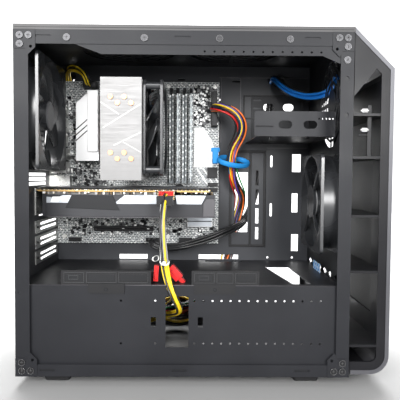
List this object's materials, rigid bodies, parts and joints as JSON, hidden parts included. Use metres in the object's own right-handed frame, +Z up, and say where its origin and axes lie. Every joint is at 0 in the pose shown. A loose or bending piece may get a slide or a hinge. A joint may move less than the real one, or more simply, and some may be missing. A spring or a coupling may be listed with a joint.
{
  "type": "desktop computer tower",
  "caption": "Desktop computer tower with its side panels off: steel chassis, board, tower cooler, graphics card, fans, power supply shroud and cables.",
  "frame": {"origin": "on the floor, under the middle of the object's box", "axes": "+X to the front of the case, +Y to the side behind the motherboard, +Z up"},
  "size_m": [0.449, 0.2344, 0.422],
  "materials": {
    "chassis_steel": "satin dark grey powder coat",
    "black_plate": "black anodised",
    "plated_steel": "zinc plated",
    "foot_rubber": "matt black",
    "front_black": "glossy black",
    "front_pale": "pale silver",
    "fan_black": "fine matt",
    "cooler_aluminium": "brushed",
    "pipe_copper": "bare copper",
    "circuit_board": "dark solder mask",
    "module_board": "green solder mask",
    "black_plastic": "moulded",
    "heatsink_aluminium": "bead blasted",
    "card_plastic": "textured dark grey",
    "cable_cover": "black insulation"
  },
  "bodies": {
    "case": {"atx_cable": "cable_cover", "board_heatsinks": "heatsink_aluminium", "board_sockets": "black_plastic", "board_standoffs": "plated_steel", "bottom_pan": "chassis_steel", "cable_plugs": "black_plastic", "case_screws": "plated_steel", "cooler_base": "pipe_copper", "cooler_fins": "cooler_aluminium", "corner_brackets": "chassis_steel", "cpu": "plated_steel", "cpu_fan_frame": "fan_black", "cpu_power_cable": "cable_cover", "dimm_slots": "black_plastic", "drive_cage": "chassis_steel", "feet": "foot_rubber", "front_cable": "cable_cover", "front_fan_frame": "fan_black", "front_wall": "chassis_steel", "gpu_backplate": "black_plate", "gpu_board": "circuit_board", "gpu_bracket": "plated_steel", "gpu_heatsink": "cooler_aluminium", "gpu_power_cable": "cable_cover", "gpu_shroud": "card_plastic", "io_ports": "plated_steel", "io_shield": "plated_steel", "memory_modules": "module_board", "motherboard": "circuit_board", "motherboard_tray": "chassis_steel", "pcie_slots": "black_plastic", "psu_case": "chassis_steel", "psu_inlet": "black_plastic", "psu_shroud": "chassis_steel", "rear_fan_frame": "fan_black", "rear_wall": "chassis_steel", "shroud_trays": "black_plastic", "side_frames": "chassis_steel", "slot_covers": "plated_steel", "top_cover": "chassis_steel", "top_panel": "chassis_steel"},
    "front_panel": {"front_trim": "front_pale", "front_fascia": "front_black", "front_panel_frame": "front_black", "front_ports": "front_black"},
    "power_button": {"power_button": "front_black"},
    "reset_button": {"reset_button": "front_black"},
    "top_filter": {"top_filter": "front_black"},
    "rear_fan_rotor": {"rear_fan_rotor": "fan_black"},
    "front_fan_rotor": {"front_fan_rotor": "fan_black"},
    "cpu_fan_rotor": {"cpu_fan_rotor": "fan_black"},
    "gpu_fan_rear": {"gpu_fan_rear": "fan_black"},
    "gpu_fan_front": {"gpu_fan_front": "fan_black"},
    "psu_fan": {"psu_fan": "fan_black"},
    "psu_switch": {"psu_switch": "black_plastic"},
    "pcie_latch": {"pcie_latch": "black_plastic"},
    "dimm_latch_1": {"dimm_latch_1": "black_plastic"},
    "dimm_latch_2": {"dimm_latch_2": "black_plastic"},
    "dimm_latch_3": {"dimm_latch_3": "black_plastic"},
    "dimm_latch_4": {"dimm_latch_4": "black_plastic"}
  },
  "joints": [
    {"name": "rear_fan_spin", "type": "hinge", "parent": "case", "child": "rear_fan_rotor", "pos_m": [-0.2035, -0.0355, 0.3254], "axis": [1, 0, 0], "continuous": true},
    {"name": "front_fan_spin", "type": "hinge", "parent": "case", "child": "front_fan_rotor", "pos_m": [0.1545, -0.046, 0.2168], "axis": [1, 0, 0], "continuous": true},
    {"name": "cpu_fan_spin", "type": "hinge", "parent": "case", "child": "cpu_fan_rotor", "pos_m": [-0.0602, -0.007, 0.309], "axis": [1, 0, 0], "continuous": true},
    {"name": "gpu_fan_rear_spin", "type": "hinge", "parent": "case", "child": "gpu_fan_rear", "pos_m": [-0.146, 0.014, 0.2], "axis": [0, 0, 1], "continuous": true},
    {"name": "gpu_fan_front_spin", "type": "hinge", "parent": "case", "child": "gpu_fan_front", "pos_m": [-0.056, 0.014, 0.2], "axis": [0, 0, 1], "continuous": true},
    {"name": "psu_fan_spin", "type": "hinge", "parent": "case", "child": "psu_fan", "pos_m": [-0.1455, 0.005, 0.024], "axis": [0, 0, 1], "continuous": true},
    {"name": "front_panel_pull", "type": "slide", "parent": "case", "child": "front_panel", "axis": [1, 0, 0], "range_m": [0, 0.04]},
    {"name": "power_press", "type": "slide", "parent": "front_panel", "child": "power_button", "axis": [-0.7071, 0, -0.7071], "range_m": [0, 0.0015], "stiffness_N_per_m": 400},
    {"name": "reset_press", "type": "slide", "parent": "front_panel", "child": "reset_button", "axis": [-0.7071, 0, -0.7071], "range_m": [0, 0.0015], "stiffness_N_per_m": 300},
    {"name": "top_filter_lift", "type": "slide", "parent": "case", "child": "top_filter", "axis": [0, 0, 1], "range_m": [0, 0.03]},
    {"name": "psu_switch_rock", "type": "hinge", "parent": "case", "child": "psu_switch", "pos_m": [-0.214, 0.05, 0.068], "axis": [0, 0, 1], "range_deg": [-8, 8]},
    {"name": "pcie_latch_swing", "type": "hinge", "parent": "case", "child": "pcie_latch", "pos_m": [-0.0655, 0.0795, 0.2299], "axis": [0, 0, 1], "range_deg": [0, 25]},
    {"name": "dimm_latch_1_swing", "type": "hinge", "parent": "case", "child": "dimm_latch_1", "pos_m": [-0.042, 0.0766, 0.3739], "axis": [1, 0, 0], "range_deg": [-30, 0]},
    {"name": "dimm_latch_2_swing", "type": "hinge", "parent": "case", "child": "dimm_latch_2", "pos_m": [-0.0325, 0.0766, 0.3739], "axis": [1, 0, 0], "range_deg": [-30, 0]},
    {"name": "dimm_latch_3_swing", "type": "hinge", "parent": "case", "child": "dimm_latch_3", "pos_m": [-0.0225, 0.0766, 0.3739], "axis": [1, 0, 0], "range_deg": [-30, 0]},
    {"name": "dimm_latch_4_swing", "type": "hinge", "parent": "case", "child": "dimm_latch_4", "pos_m": [-0.013, 0.0766, 0.3739], "axis": [1, 0, 0], "range_deg": [-30, 0]}
  ]
}
